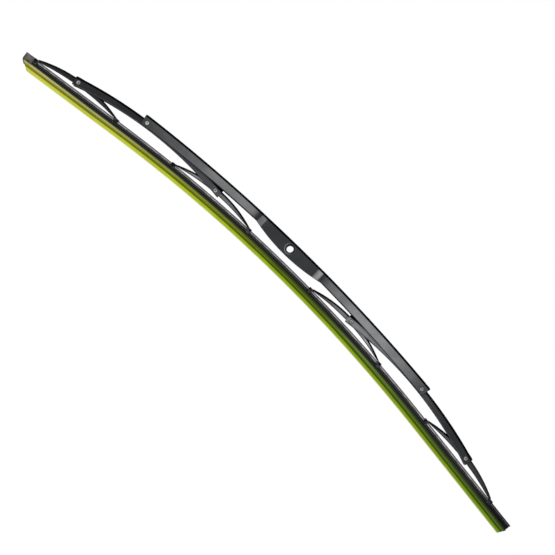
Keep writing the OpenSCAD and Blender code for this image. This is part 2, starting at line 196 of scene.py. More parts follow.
def extrude(y=0.0, z=0.0):
    bpy.ops.mesh.extrude_region_move(TRANSFORM_OT_translate={"value": (0, y * MM, z * MM)})


def widen(y, z=1.0, centre=(0, 0, 0)):
    bpy.ops.transform.resize(value=(1, y, z), center_override=[c * MM for c in centre])


def finish_with(obj, kind, name, **values):
    """Adds a modifier with these values and applies it."""
    only(obj)
    modifier = obj.modifiers.new(name, kind)
    for key, value in values.items():
        setattr(modifier, key, value)
    bpy.ops.object.modifier_apply(modifier=name)


def soften(obj, width, segments=2, angle=40):
    finish_with(obj, "BEVEL", "edges", width=width * MM, segments=segments, limit_method="ANGLE",
                angle_limit=math.radians(angle), harden_normals=False)


def smooth(obj, angle=35):
    only(obj)
    bpy.ops.object.shade_smooth_by_angle(angle=math.radians(angle))


def copy_of(obj, name):
    """A copy with a mesh of its own."""
    only(obj)
    bpy.ops.object.duplicate(linked=False)
    twin = bpy.context.object
    twin.name = name
    twin.data.name = name
    return twin


def mirrored(obj, name):
    """A copy on the other half of the blade."""
    twin = copy_of(obj, name)
    bpy.ops.object.mode_set(mode="EDIT")
    bpy.ops.mesh.select_all(action="SELECT")
    bpy.ops.transform.resize(value=(-1, 1, 1), center_override=(0, 0, 0))
    bpy.ops.mesh.normals_make_consistent(inside=False)
    bpy.ops.object.mode_set(mode="OBJECT")
    return twin


def joined(obj, *others):
    only(obj)
    for other in others:
        other.select_set(True)
    bpy.ops.object.join()
    return obj


def channel(name, stations, back, edge, half_y, sheet, bend, lean=0.0):
    """Sheet folded to a channel: back and edge give its heights at x, half_y its half width."""
    first, last = stations[0], stations[-1]
    obj = box(name, (first, -1, -1), (last, 1, 1))
    bpy.ops.object.mode_set(mode="EDIT")
    for x in stations[1:-1]:
        cut((x, 0, 0), (1, 0, 0))
    pick(obj, "FACE", lambda f: f.normal.z < -0.5 or abs(f.normal.x) > 0.5)
    bpy.ops.mesh.delete(type="FACE")
    for x in stations:
        pick(obj, "VERT", lambda v: near(v.co.x, x))
        widen(half_y(x))
        pick(obj, "VERT", lambda v: near(v.co.x, x) and near(v.co.z, 1))
        move(z=back(x) - 1)
        pick(obj, "VERT", lambda v: near(v.co.x, x) and near(v.co.z, -1))
        move(z=edge(x) + 1)
    if lean:
        for x, side in ((first, 1), (last, -1)):
            h = back(x) - edge(x)
            pick(obj, "VERT", lambda v: near(v.co.x, x) and near(v.co.z, edge(x), 0.01))
            move(x=side * h * math.tan(math.radians(lean)))
    pick(obj, "EDGE", lambda e: len(e.link_faces) == 2
         and max(abs(f.normal.z) for f in e.link_faces) > 0.7
         and max(abs(f.normal.y) for f in e.link_faces) > 0.7)
    bpy.ops.mesh.bevel(offset=bend * MM, segments=5, affect="EDGES", offset_type="OFFSET")
    bpy.ops.object.mode_set(mode="OBJECT")
    finish_with(obj, "SOLIDIFY", "sheet", thickness=sheet * MM, offset=-1, use_even_offset=True)
    return obj


def trim(obj, x, z, angle, reach=0.0):
    """Cuts off an end of the side view, by a plane through a point that leans by an angle."""
    side = math.copysign(1, x)
    turn = math.radians(angle)
    outwards = (side * math.cos(turn), 0, math.sin(turn))
    only(obj)
    bpy.ops.object.mode_set(mode="EDIT")
    cut((x - side * reach, 0, z), outwards, clear_outer=True, use_fill=True)
    bpy.ops.object.mode_set(mode="OBJECT")


def round_corner(obj, x, z, radius, up):
    """Takes a sheet's sharp corner off in three facets; up is 1 for an upper corner."""
    for angle in (22.5, 45, 67.5):
        turn = math.radians(angle)
        trim(obj, x, z, up * angle, radius * (math.cos(turn) + math.sin(turn) - 1) / math.cos(turn))


def evenly(first, last, step, *more):
    """Places from first to last about a step apart, and some more, if they aren't there already."""
    count = max(1, round((last - first) / step))
    places = [first + (last - first) * i / count for i in range(count + 1)]
    places += [m for m in more if all(abs(m - p) > 0.2 for p in places)]
    return sorted(places)


# The bridge, with its waist, belly and the dished hole for the arm's pin

def smoothstep(t):
    t = max(0.0, min(1.0, t))
    return t * t * (3 - 2 * t)


def bridge_back(x):
    return height_on(BRIDGE_BACK, x)


def bridge_edge(x):
    plain = height_on(BRIDGE_EDGE, x)
    if abs(x) >= BELLY_REACH:
        return plain
    return min(plain, BELLY_R + BELLY_LOW - math.sqrt(BELLY_R ** 2 - x ** 2))


def bridge_half(x):
    t = (abs(x) - WAIST_HALF) / STEP
    return WAIST_Y + (BRIDGE_Y - WAIST_Y) * max(0.0, min(1.0, t))


def make_bridge():
    more = [s * x for s in (-1, 1) for x in (WAIST_HALF, WAIST_HALF + STEP, 44, 26)]
    bridge = channel("bridge", evenly(-BRIDGE_HALF, BRIDGE_HALF, 8, *more), bridge_back, bridge_edge,
                     bridge_half, BRIDGE_SHEET, BRIDGE_BEND, BRIDGE_LEAN)
    top, low = bridge_back(BRIDGE_HALF), bridge_edge(BRIDGE_HALF)
    set_back = (top - low) * math.tan(math.radians(BRIDGE_LEAN))
    for side in (-1, 1):
        round_corner(bridge, side * BRIDGE_HALF, top, 1.6, 1)
        round_corner(bridge, side * (BRIDGE_HALF - set_back), low, 1.0, -1)
    cutters = []
    for side in (-1, 1):
        ring = round_bar("dish", side * (WAIST_Y - 1.45), DISH_R, DISH_R, 0.9)
        finish_with(bridge, "BOOLEAN", "ring", operation="UNION", solver="EXACT", object=ring)
        outer, inner = PIN_R + 3.6, PIN_R
        ends = (outer, inner) if side > 0 else (inner, outer)
        cone = round_bar("hollow", side * WAIST_Y, *ends, 1.0)
        finish_with(bridge, "BOOLEAN", "dish", operation="DIFFERENCE", solver="EXACT", object=cone)
        cutters += [ring, cone]
    pin = round_bar("pin", 0, PIN_R, PIN_R, 30)
    finish_with(bridge, "BOOLEAN", "hole", operation="DIFFERENCE", solver="EXACT", object=pin)
    cutters.append(pin)
    for tool in cutters:
        bpy.data.objects.remove(tool)
    soften(bridge, 0.15)
    smooth(bridge)
    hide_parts("primary_bridge")
    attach(bridge, "bridge")
    return bridge


def round_bar(name, y, r_back, r_front, depth, x=0.0, z=0.0):
    """A round bar or cone across the blade, r_front towards -Y."""
    bpy.ops.object.select_all(action="DESELECT")
    bpy.ops.mesh.primitive_cone_add(vertices=64, radius1=r_back * MM, radius2=r_front * MM,
                                    depth=depth * MM, location=(x * MM, y * MM, z * MM),
                                    rotation=(math.radians(90), 0, 0))
    bpy.ops.object.transform_apply(location=True, rotation=True, scale=True)
    obj = bpy.context.object
    obj.name = name
    return obj


# The levers

def make_levers():
    first, last = INNER[0] - 4.5, OUTER[0] + 5.4

    def back(x):
        """The back rises a little at the outer end."""
        return height_on(LEVER_BACK, x) + 0.5 * smoothstep((x - (last - 7)) / 5)

    right = channel("lever_plate_right", evenly(first, last, 7), back, lambda x: height_on(LEVER_EDGE, x),
                    lambda x: LEVER_Y, LEVER_SHEET, LEVER_BEND)
    top, low = back(last), height_on(LEVER_EDGE, last)
    set_back = (top - low) * math.tan(math.radians(LEVER_LEAN))
    trim(right, last, top, -LEVER_LEAN)
    round_corner(right, last, top, 1.4, 1)
    round_corner(right, last - set_back, low, 1.2, -1)
    soften(right, 0.12)
    smooth(right)
    left = mirrored(right, "lever_plate_left")
    for piece, side in ((right, "right"), (left, "left")):
        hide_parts("lever_" + side)
        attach(piece, "lever_" + side)
    return left, right


# The yokes and their claws

def make_claw(name, x):
    """A saddle over the strip's back with two hooks under its flange."""
    top, gap, low = 1.0, 0.2, -4.1
    out_y, in_y, hook_y = 4.2, 3.4, 1.7
    hook = 0.8
    half = CLAW_LENGTH / 2
    claw = box(name, (-half, -out_y, gap), (half, out_y, top))
    bpy.ops.object.mode_set(mode="EDIT")
    for y in (-in_y, in_y):
        cut((0, y, 0), (0, 1, 0))
    pick(claw, "FACE", lambda f: f.normal.z < -0.5 and abs(f.calc_center_median().y) > in_y * MM)
    extrude(z=low + hook - gap)
    extrude(z=-hook)
    for side in (-1, 1):
        pick(claw, "FACE", lambda f: side * f.normal.y < -0.5 and side * f.calc_center_median().y > 0
             and f.calc_center_median().z < (low + hook - 0.01) * MM)
        extrude(y=side * (hook_y - in_y))
    bpy.ops.object.mode_set(mode="OBJECT")
    soften(claw, 0.25)
    bpy.ops.object.mode_set(mode="EDIT")
    bpy.ops.mesh.select_all(action="SELECT")
    bpy.ops.transform.rotate(value=-strip_tilt(x), orient_axis="Y", center_override=(0, 0, 0))
    move(x=x, z=strip_back(x))
    bpy.ops.object.mode_set(mode="OBJECT")
    return claw


def make_yoke(name, claws, back, edge):
    first, last = claws[0] + CLAW_LENGTH / 4, claws[1] - CLAW_LENGTH / 4
    yoke = channel(name, evenly(first, last, 5), lambda x: height_on(back, x),
                   lambda x: max(height_on(edge, x), strip_back(x) + 0.2), lambda x: YOKE_Y,
                   YOKE_SHEET, YOKE_BEND)
    soften(yoke, 0.12)
    joined(yoke, *[make_claw("claw", x) for x in claws])
    smooth(yoke)
    return yoke


def make_yokes():
    made = []
    for which, claws, back, edge in (("inner", CLAWS[:2], INNER_BACK, INNER_EDGE),
                                     ("outer", CLAWS[2:], OUTER_BACK, OUTER_EDGE)):
        right = make_yoke("yoke_plate_" + which + "_right", claws, back, edge)
        left = mirrored(right, "yoke_plate_" + which + "_left")
        for piece, side in ((right, "right"), (left, "left")):
            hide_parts("yoke_" + which + "_" + side)
            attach(piece, "yoke_" + which + "_" + side)
            made.append(piece)
    return made


# The strip: straight bars with a section, bent to the strip's line and cut where the bodies change

# Where the strip's lengths meet on either half, and where its arc ends
BORDERS = (39, 129, 156, 186)


def strip_stations():
    """Where the bars are cut to bend: closer where they bend most, and not beside the spans' borders."""
    places = evenly(-STRIP_LEFT, STRIP_RIGHT, 11)
    fine = [s * (126 + 6 * i) for s in (-1, 1) for i in range(13)]
    borders = [s * x for s in (-1, 1) for x in BORDERS]
    kept = []
    for x in sorted(set(places + fine + borders)):
        if x not in borders and any(abs(x - b) < 2.5 for b in borders):
            continue
        kept.append(x)
    return kept


def section_bar(name, levels, y_shift=0.0):
    """A straight bar along X whose half width changes at each level, listed from the top down."""
    top, low = levels[0][0], levels[-1][0]
    obj = box(name, (-STRIP_LEFT, -1, low), (STRIP_RIGHT, 1, top))
    bpy.ops.object.mode_set(mode="EDIT")
    for level in levels[1:-1]:
        cut((0, 0, level[0]), (0, 0, 1))
    for z, half in levels:
        pick(obj, "VERT", lambda v: near(v.co.z, z))
        widen(half)
    for x in strip_stations()[1:-1]:
        cut((x, 0, 0), (1, 0, 0))
    if y_shift:
        bpy.ops.mesh.select_all(action="SELECT")
        move(y=y_shift)
    bpy.ops.object.mode_set(mode="OBJECT")
    depth = obj.data.attributes.new("depth", "FLOAT", "POINT")
    for i, v in enumerate(obj.data.vertices):
        depth.data[i].value = v.co.z / MM
    return obj


def bend_to_strip(obj):
    """Lays a straight bar along the strip's curved middle and straight ends."""
    only(obj)
    bpy.ops.object.mode_set(mode="EDIT")
    for x in strip_stations():
        pick(obj, "VERT", lambda v: near(v.co.x, x))
        widen(1, 1 / math.cos(strip_tilt(x)), (x, 0, 0))
        move(z=strip_back(x))
    bpy.ops.object.mode_set(mode="OBJECT")


def at_left_end(x, z):
    """A point of the side view, given from the strip's left end with x inwards and z off its back."""
    tilt = strip_tilt(STRIP_LEFT)
    return (-STRIP_LEFT + x * math.cos(tilt) - z * math.sin(tilt), 0,
            strip_back(STRIP_LEFT) + x * math.sin(tilt) + z * math.cos(tilt))


def leaning(angle):
    """The inward normal of a plane at the left end that leans inwards by this angle."""
    turn = strip_tilt(STRIP_LEFT) + math.radians(angle)
    return math.cos(turn), 0, math.sin(turn)


def end_cuts(obj, slant):
    """Cuts both ends square, or both slanting, as the squeegee's: at the clip's tooth and at the free end."""
    only(obj)
    bpy.ops.object.mode_set(mode="EDIT")
    cut(at_left_end(0.03, 0), leaning(0), clear_inner=True, use_fill=True)
    if slant:
        cut(at_left_end(-0.285, -5.987), leaning(TOOTH_LEAN), clear_inner=True, use_fill=True)
    turn = strip_tilt(STRIP_LEFT) + math.radians(slant)
    free_end = (STRIP_RIGHT - 0.05, 0, strip_back(STRIP_RIGHT) + (HEAD_LOW if slant else 0))
    cut(free_end, (math.cos(turn), 0, -math.sin(turn)), clear_outer=True, use_fill=True)
    bpy.ops.object.mode_set(mode="OBJECT")


# The strip's lengths: each rides one body, or lies between the two bodies listed and is attached to neither
BEYOND = 400
SPANS = [
    ("a", -BEYOND, -156, ("yoke_outer_left",)),
    ("b", -156, -129, ("yoke_inner_left", "lever_left")),
    ("c", -129, -39, ("yoke_inner_left",)),
    ("d", -39, 39, ("strip",)),
    ("e", 39, 129, ("yoke_inner_right",)),
    ("f", 129, 156, ("yoke_inner_right", "lever_right")),
    ("g", 156, BEYOND, ("yoke_outer_right",)),
]

# The lengths that reach into their neighbours with a core, and where
CORES = {"a": (-156,), "d": (-39, 39), "g": (156,)}
CORE_REACH = 2.2
CORE_INSET = 0.12


def length_of(obj, name, first, last):
    part = copy_of(obj, name)
    bpy.ops.object.mode_set(mode="EDIT")
    if first > -BEYOND:
        cut((first, 0, 0), (1, 0, 0), clear_inner=True, use_fill=True)
    if last < BEYOND:
        cut((last, 0, 0), (1, 0, 0), clear_outer=True, use_fill=True)
    bpy.ops.object.mode_set(mode="OBJECT")
    return part


def core_of(obj, x):
    """A slightly thinner core that keeps the strip closed where two lengths turn against each other."""
    core = length_of(obj, "core", x - CORE_REACH, x + CORE_REACH)
    bpy.ops.object.mode_set(mode="EDIT")
    bpy.ops.mesh.select_all(action="SELECT")
    bpy.ops.mesh.normals_make_consistent(inside=False)
    bpy.ops.transform.shrink_fatten(value=-CORE_INSET * MM)
    bpy.ops.object.mode_set(mode="OBJECT")
    return core


def cut_to_spans(obj, node):
    """One length for each body that the strip follows, and one for each stretch between two bodies, attached
    to neither.
    """
    lengths = []
    for mark, first, last, bodies in SPANS:
        part = length_of(obj, obj.name + "_" + mark, first, last)
        if mark in CORES:
            joined(part, *[core_of(obj, x) for x in CORES[mark]])
        smooth(part, 30)
        if len(bodies) == 1:
            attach(part, bodies[0])
        else:
            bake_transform(part)
        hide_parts(node)
        lengths.append(part)
    bpy.data.objects.remove(obj)
    return lengths


def make_strip():
    """The head, with its grooves for rails and claws, the rubber with its lip, and the two rails."""
    # The height over which a groove's square wall goes in or out
    ledge = 0.02
    head = section_bar("head", [
        (0.0, 3.05), (-0.15, 3.2), (-1.0, 3.2), (-1.0 - ledge, 1.0), (-2.0 + ledge, 1.0), (-2.0, 3.2),
        (-2.95, 3.2), (-3.1, 3.1), (-3.1 - ledge, 1.5), (-4.4 + ledge, 1.5), (-4.4, 2.35), (-4.55, 2.5),
        (-5.6, 2.5), (HEAD_LOW, 2.45)])
    rubber = section_bar("rubber", [
        (-5.74, 2.1), (-7.4, 2.1), (-7.8, 1.9), (-8.6, 1.9), (-9.0, 1.7), (-9.2, 1.1), (-9.5, 1.0),
        (-9.8, 1.3), (-10.2, 1.35), (-12.0, 0.9), (-13.25, 0.45), (RUBBER_LOW, 0.35)])
    rail = [(-1.05, 1.05), (-1.95, 1.05)]
    rail_y = 2.1
    front = section_bar("steel_front", rail, -rail_y)
    back = section_bar("steel_back", rail, rail_y)
    made = {}
    for bar, node, slot, slant in ((head, "backing_strip", "head_black", 0),
                                   (rubber, "squeegee", "squeegee_rubber", 22),
                                   (front, "rail_front", "spring_steel", 0),
                                   (back, "rail_back", "spring_steel", 0)):
        bend_to_strip(bar)
        end_cuts(bar, slant)
        made[node] = cut_to_spans(bar, node)
    return made


# The clip on the strip's left end

def make_clip():
    half = 3.4 + CLIP_WALL
    clip = box("clip", (-CLIP_OUT, -half, HEAD_LOW), (CLIP_LONG, half, CLIP_OUT))
    bpy.ops.object.mode_set(mode="EDIT")
    pick(clip, "FACE", lambda f: f.normal.z < -0.9 or f.normal.x > 0.9)
    bpy.ops.mesh.delete(type="FACE")
    bpy.ops.object.mode_set(mode="OBJECT")
    finish_with(clip, "SOLIDIFY", "wall", thickness=CLIP_WALL * MM, offset=-1, use_even_offset=True)
    soften(clip, 0.25)
    lean = math.radians(TOOTH_LEAN)
    inwards = (math.cos(lean), 0, math.sin(lean))
    tooth_y = 2.1
    tooth = box("tooth", (-CLIP_OUT, -tooth_y, -9.5), (8, tooth_y, -6.3))
    bpy.ops.object.mode_set(mode="EDIT")
    cut((-CLIP_OUT, 0, TOOTH_FROM), inwards, clear_inner=True, use_fill=True)
    cut((-CLIP_OUT + CLIP_WALL / math.cos(lean), 0, TOOTH_FROM), inwards, clear_outer=True, use_fill=True)
    bpy.ops.object.mode_set(mode="OBJECT")
    stem = box("stem", (-CLIP_OUT, -tooth_y, -6.7), (CLIP_WALL - CLIP_OUT, tooth_y, -5.2))
    finish_with(tooth, "BOOLEAN", "stem", operation="UNION", solver="EXACT", object=stem)
    bpy.data.objects.remove(stem)
    soften(tooth, 0.15)
    joined(clip, tooth)
    bpy.ops.object.mode_set(mode="EDIT")
    bpy.ops.mesh.select_all(action="SELECT")
    bpy.ops.transform.rotate(value=strip_tilt(STRIP_LEFT), orient_axis="Y", center_override=(0, 0, 0))
    move(x=-STRIP_LEFT, z=strip_back(STRIP_LEFT))
    bpy.ops.object.mode_set(mode="OBJECT")
    smooth(clip)
    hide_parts("end_clip")
    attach(clip, "yoke_outer_left")
    return clip


# Shader node groups

# How far down the side the painted shade on a sheet's fold reaches, in millimetres
FOLD_WIDTH = 2.15


def new_group(name, inputs, outputs):
    group = bpy.data.node_groups.new(name, "ShaderNodeTree")
    for label, kind, value in inputs:
        socket = group.interface.new_socket(label, in_out="INPUT", socket_type=kind)
        socket.default_value = value
    for label, kind in outputs:
        group.interface.new_socket(label, in_out="OUTPUT", socket_type=kind)
    return group, group.nodes.new("NodeGroupInput"), group.nodes.new("NodeGroupOutput")


def feed(tree, socket, value):
    if hasattr(value, "is_output"):
        tree.links.new(value, socket)
    else:
        socket.default_value = value


def calc(tree, operation, a, b=0.0, c=0.0):
    node = tree.nodes.new("ShaderNodeMath")
    node.operation = operation
    for socket, value in zip(node.inputs, (a, b, c)):
        feed(tree, socket, value)
    return node.outputs[0]


def span(tree, value, low, high, out_low=0.0, out_high=1.0):
    """A smooth step from one value to another."""
    node = tree.nodes.new("ShaderNodeMapRange")
    node.interpolation_type = "SMOOTHSTEP"
    for label, number in (("From Min", low), ("From Max", high), ("To Min", out_low), ("To Max", out_high)):
        feed(tree, node.inputs[label], number)
    feed(tree, node.inputs["Value"], value)
    return node.outputs["Result"]


def hypotenuse(tree, a, b):
    squares = calc(tree, "ADD", calc(tree, "MULTIPLY", a, a), calc(tree, "MULTIPLY", b, b))
    return calc(tree, "SQRT", squares)


def place_mm(tree):
    """Object coordinates in millimetres."""
    source = tree.nodes.new("ShaderNodeTexCoord")
    scale = tree.nodes.new("ShaderNodeVectorMath")
    scale.operation = "SCALE"
    scale.inputs["Scale"].default_value = 1 / MM
    tree.links.new(source.outputs["Object"], scale.inputs[0])
    return scale.outputs[0]


def parts_of(tree, vector):
    """A vector's X, Y and Z."""
    node = tree.nodes.new("ShaderNodeSeparateXYZ")
    tree.links.new(vector, node.inputs[0])
    return node.outputs


def grain_group():
    """Fine grain and broad cloudiness, for a paint or a moulding."""
    inputs = [("Size", "NodeSocketFloat", 0.6), ("Cloud", "NodeSocketFloat", 30.0)]
    outputs = [("Grain", "NodeSocketFloat"), ("Cloudiness", "NodeSocketFloat")]
    group, given, out = new_group("grain", inputs, outputs)
    where = place_mm(group)
    for size, label, detail in (("Size", "Grain", 3), ("Cloud", "Cloudiness", 2)):
        noise = group.nodes.new("ShaderNodeTexNoise")
        noise.inputs["Detail"].default_value = detail
        group.links.new(where, noise.inputs["Vector"])
        group.links.new(calc(group, "DIVIDE", 1.0, given.outputs[size]), noise.inputs["Scale"])
        group.links.new(noise.outputs["Fac"], out.inputs[label])
    return group


def sheet_group():
    """Masks of a folded sheet: its flat top, its fold and its lower edge, from their side-view circles."""
    circles = ("Back X", "Back Z", "Back R", "Edge X", "Edge Z", "Edge R")
    inputs = [(label, "NodeSocketFloat", 0.0) for label in circles]
    inputs.append(("Fold Width", "NodeSocketFloat", FOLD_WIDTH))
    outputs = [(label, "NodeSocketFloat") for label in ("Top", "Fold", "Edge", "Along")]
    group, given, out = new_group("sheet_masks", inputs, outputs)
    place = parts_of(group, place_mm(group))
    far = calc(group, "ABSOLUTE", place["X"])

    def from_circle(which):
        dx = calc(group, "SUBTRACT", far, given.outputs[which + " X"])
        dz = calc(group, "SUBTRACT", place["Z"], given.outputs[which + " Z"])
        return calc(group, "SUBTRACT", hypotenuse(group, dx, dz), given.outputs[which + " R"])

    source = group.nodes.new("ShaderNodeTexCoord")
    facing = parts_of(group, source.outputs["Normal"])
    top = span(group, calc(group, "ABSOLUTE", facing["Z"]), 0.9, 0.99)
    off_back = from_circle("Back")
    off_edge = from_circle("Edge")
    below = calc(group, "SUBTRACT", -0.4, given.outputs["Fold Width"])
    above = calc(group, "SUBTRACT", 0.4, given.outputs["Fold Width"])
    fold = calc(group, "MULTIPLY", span(group, off_back, below, above), span(group, off_back, 0.5, 0.2))
    edge = calc(group, "MULTIPLY", span(group, off_edge, 0.9, 0.3), span(group, off_edge, -0.6, -0.2))
    past_waist = span(group, far, 41.0, 43.0)
    group.links.new(top, out.inputs["Top"])
    group.links.new(calc(group, "MULTIPLY", fold, calc(group, "SUBTRACT", 1.0, top)), out.inputs["Fold"])
    group.links.new(calc(group, "MULTIPLY", edge, past_waist), out.inputs["Edge"])
    group.links.new(place["X"], out.inputs["Along"])
    return group


GRAIN = grain_group()
SHEET = sheet_group()


# Materials

def blend_colours(tree, factor, a, b, mode="MIX"):
    node = tree.nodes.new("ShaderNodeMix")
    node.data_type = "RGBA"
    node.blend_type = mode
    feed(tree, node.inputs[0], factor)
    feed(tree, node.inputs[6], a)
    feed(tree, node.inputs[7], b)
    return node.outputs[2]


def from_screen(r, g, b):
    """A colour as a screen shows it, 0 to 255, as the shader wants it."""
    shares = [c / 255 for c in (r, g, b)]
    return tuple(c / 12.92 if c < 10 / 255 else ((c + 0.055) / 1.055) ** 2.4 for c in shares) + (1.0,)


def ramp(tree, value, low, high, stops):
    """Colours along a value between low and high; each stop is a value and a colour as on a screen."""
    node = tree.nodes.new("ShaderNodeValToRGB")
    node.color_ramp.interpolation = "LINEAR"
    elements = node.color_ramp.elements
    while len(elements) < len(stops):
        elements.new(0.5)
    while len(elements) > len(stops):
        elements.remove(elements[-1])
    for element, (at, colour) in zip(elements, stops):
        element.position = (at - low) / (high - low)
        element.color = from_screen(*colour)
    fraction = tree.nodes.new("ShaderNodeMapRange")
    feed(tree, fraction.inputs["From Min"], low)
    feed(tree, fraction.inputs["From Max"], high)
    feed(tree, fraction.inputs["Value"], value)
    tree.links.new(fraction.outputs["Result"], node.inputs["Fac"])
    return node.outputs["Color"]


def new_material(name, rough, metallic=0.0, specular=0.5):
    material = bpy.data.materials.new(name)
    material.use_nodes = True
    tree = material.node_tree
    shader = tree.nodes["Principled BSDF"]
    shader.inputs["Roughness"].default_value = rough
    shader.inputs["Metallic"].default_value = metallic
    shader.inputs["Specular IOR Level"].default_value = specular
    return material, tree, shader


def add_group(tree, group, **values):
    node = tree.nodes.new("ShaderNodeGroup")
    node.node_tree = group
    for key, value in values.items():
        feed(tree, node.inputs[key.replace("_", " ")], value)
    return node


def add_bump(tree, shader, height, strength, distance):
    bump = tree.nodes.new("ShaderNodeBump")
    bump.inputs["Strength"].default_value = strength
    bump.inputs["Distance"].default_value = distance * MM
    feed(tree, bump.inputs["Height"], height)
    tree.links.new(bump.outputs["Normal"], shader.inputs["Normal"])


def greys(tree, value, reach, tones):
    """Nearly neutral tones along a value between -reach and reach."""
    return ramp(tree, value, -reach, reach, [(at, (tone, tone + 1, tone + 3)) for at, tone in tones])


def claw_mottle_and_glints(tree, colour, along, cloudiness, claws):
    """Random dark and grey mottle where the claws are, around these places on either half, its grey patches
    painted glints.
    """
    distance = calc(tree, "ABSOLUTE", along)
    mottle = span(tree, cloudiness, 0.42, 0.6)
    # Random mottle whose grey patches are painted glints.
    mottle_and_glints = blend_colours(tree, mottle, from_screen(12, 12, 14), from_screen(54, 54, 56))
    for x in claws:
        off = calc(tree, "ABSOLUTE", calc(tree, "SUBTRACT", distance, x))
        colour = blend_colours(tree, span(tree, off, 2.5, 2.2), colour, mottle_and_glints)
    return colour


def paint(name, back, edge, reach, tones, fold, edge_light_tone, dish=False, claws=(), fold_width=FOLD_WIDTH):
    """Satin black paint with painted light: tones along the sheet as painted reflections and painted shade,
    painted shade on the fold, and a painted line on the lower edge, a highlight where its tone is light and
    shade where it is dark.
    """
    rough, satin = 0.42, 0.12
    material, tree, shader = new_material(name, rough, specular=satin)
    grain = add_group(tree, GRAIN, Size=0.35, Cloud=3.0 if claws else 14.0)
    masks = add_group(tree, SHEET, Back_X=back[0], Back_Z=back[1], Back_R=back[2],
                      Edge_X=edge[0], Edge_Z=edge[1], Edge_R=edge[2], Fold_Width=fold_width)
    along = masks.outputs["Along"]
    # Painted light along the lower edge: a highlight where this tone is light, shade where it is dark.
    painted_edge_light = from_screen(edge_light_tone, edge_light_tone, edge_light_tone + 3)
    # The tones along the sheet are painted reflections and painted shade.
    colour = greys(tree, along, reach, tones)
    colour = blend_colours(tree, masks.outputs["Top"], colour, from_screen(36, 36, 38))
    # Paints that line of highlight or shade on the lower edge.
    colour = blend_colours(tree, masks.outputs["Edge"], colour, painted_edge_light)
    # The fold is painted shade.
    colour = blend_colours(tree, masks.outputs["Fold"], colour, greys(tree, along, reach, fold))
    if dish:
        # Painted shade in the dish and a painted highlight on its rim.
        around, rim = dish_masks(tree)
        colour = blend_colours(tree, around, colour, from_screen(20, 20, 22))
        colour = blend_colours(tree, rim, colour, from_screen(120, 120, 124))
    shade = span(tree, grain.outputs["Cloudiness"], 0.3, 0.7, 0.85, 1.1)
    colour = blend_colours(tree, 1.0, colour, shade, "MULTIPLY")
    if claws:
        # The claws get a random mottle with painted glints.
        colour = claw_mottle_and_glints(tree, colour, along, grain.outputs["Cloudiness"], claws)
    roughness = span(tree, grain.outputs["Grain"], 0.3, 0.7, rough - 0.05, rough + 0.08)
    specular = span(tree, masks.outputs["Fold"], 0.0, 0.8, satin, 0.0)
    tree.links.new(colour, shader.inputs["Base Color"])
    tree.links.new(roughness, shader.inputs["Roughness"])
    tree.links.new(specular, shader.inputs["Specular IOR Level"])
    add_bump(tree, shader, grain.outputs["Grain"], 0.25, 0.05)
    return material


def dish_masks(tree):
    """Masks for painted shade in the dish around the arm pin's hole and for a painted highlight on its rim,
    which shows most on the lower left.
    """
    place = parts_of(tree, place_mm(tree))
    r = hypotenuse(tree, place["X"], place["Z"])
    # The rim's painted highlight is strongest on the lower left.
    lower = span(tree, calc(tree, "ADD", place["X"], place["Z"]), 2.0, -4.0, 0.1, 1.0)
    rim = calc(tree, "MULTIPLY", span(tree, r, 4.5, 4.75), span(tree, r, 5.35, 5.05))
    return span(tree, r, DISH_R, DISH_R - 0.4), calc(tree, "MULTIPLY", rim, lower)


def plain_finish(name, dark, light, rough, metallic=0.0, specular=0.5, size=0.4, shade=None):
    """A moulding or bare metal, mottled between two colours; shade, where given, multiplies painted shade
    into it in places.
    """
    material, tree, shader = new_material(name, rough, metallic, specular)
    grain = add_group(tree, GRAIN, Size=size, Cloud=5.0)
    fine = calc(tree, "MULTIPLY", grain.outputs["Grain"], 0.4)
    mixed = calc(tree, "MULTIPLY_ADD", grain.outputs["Cloudiness"], 0.6, fine)
    colour = blend_colours(tree, span(tree, mixed, 0.35, 0.65), from_screen(*dark), from_screen(*light))
    if shade:
        colour = blend_colours(tree, 1.0, colour, shade(tree), "MULTIPLY")
    roughness = span(tree, grain.outputs["Grain"], 0.3, 0.7, rough - 0.05, rough + 0.1)
    tree.links.new(colour, shader.inputs["Base Color"])
    tree.links.new(roughness, shader.inputs["Roughness"])
    add_bump(tree, shader, grain.outputs["Grain"], 0.3, 0.04)
    return material


def rivet_shade(tree):
    """Painted shade on the hollow end of a rivet: dark in the middle and around the rolled rim, and darker to
    the right, away from the light.
    """
    place = parts_of(tree, place_mm(tree))
    outside_all = 9.0
    r = outside_all
    for pivot_x, pivot_z in (MAIN, OUTER, INNER):
        dx = calc(tree, "SUBTRACT", calc(tree, "ABSOLUTE", place["X"]), pivot_x)
        dz = calc(tree, "SUBTRACT", place["Z"], pivot_z)
        r = calc(tree, "MINIMUM", hypotenuse(tree, dx, dz), r)
    hollow = span(tree, r, 0.45, 0.8, 0.06, 1.0)
    rim = span(tree, r, 1.45, 1.75, 1.0, 0.25)
    # Painted shade: the rivets are darker to the right.
    shaded_right = span(tree, place["X"], -90.0, 90.0, 0.9, 0.5)
    return calc(tree, "MULTIPLY", hollow, calc(tree, "MULTIPLY", rim, shaded_right))


def strip_depth(tree):
    """A point's height before its bar is bent, 0 at the strip's back, as section_bar stores it."""
    node = tree.nodes.new("ShaderNodeAttribute")
    node.attribute_name = "depth"
    return node.outputs["Fac"]


def free_end_shade(tree):
    """Painted shade: the head and the rails are darker towards the free end."""
    along = parts_of(tree, place_mm(tree))["X"]
    return span(tree, along, 264.0, 292.0, 1.0, 0.2)


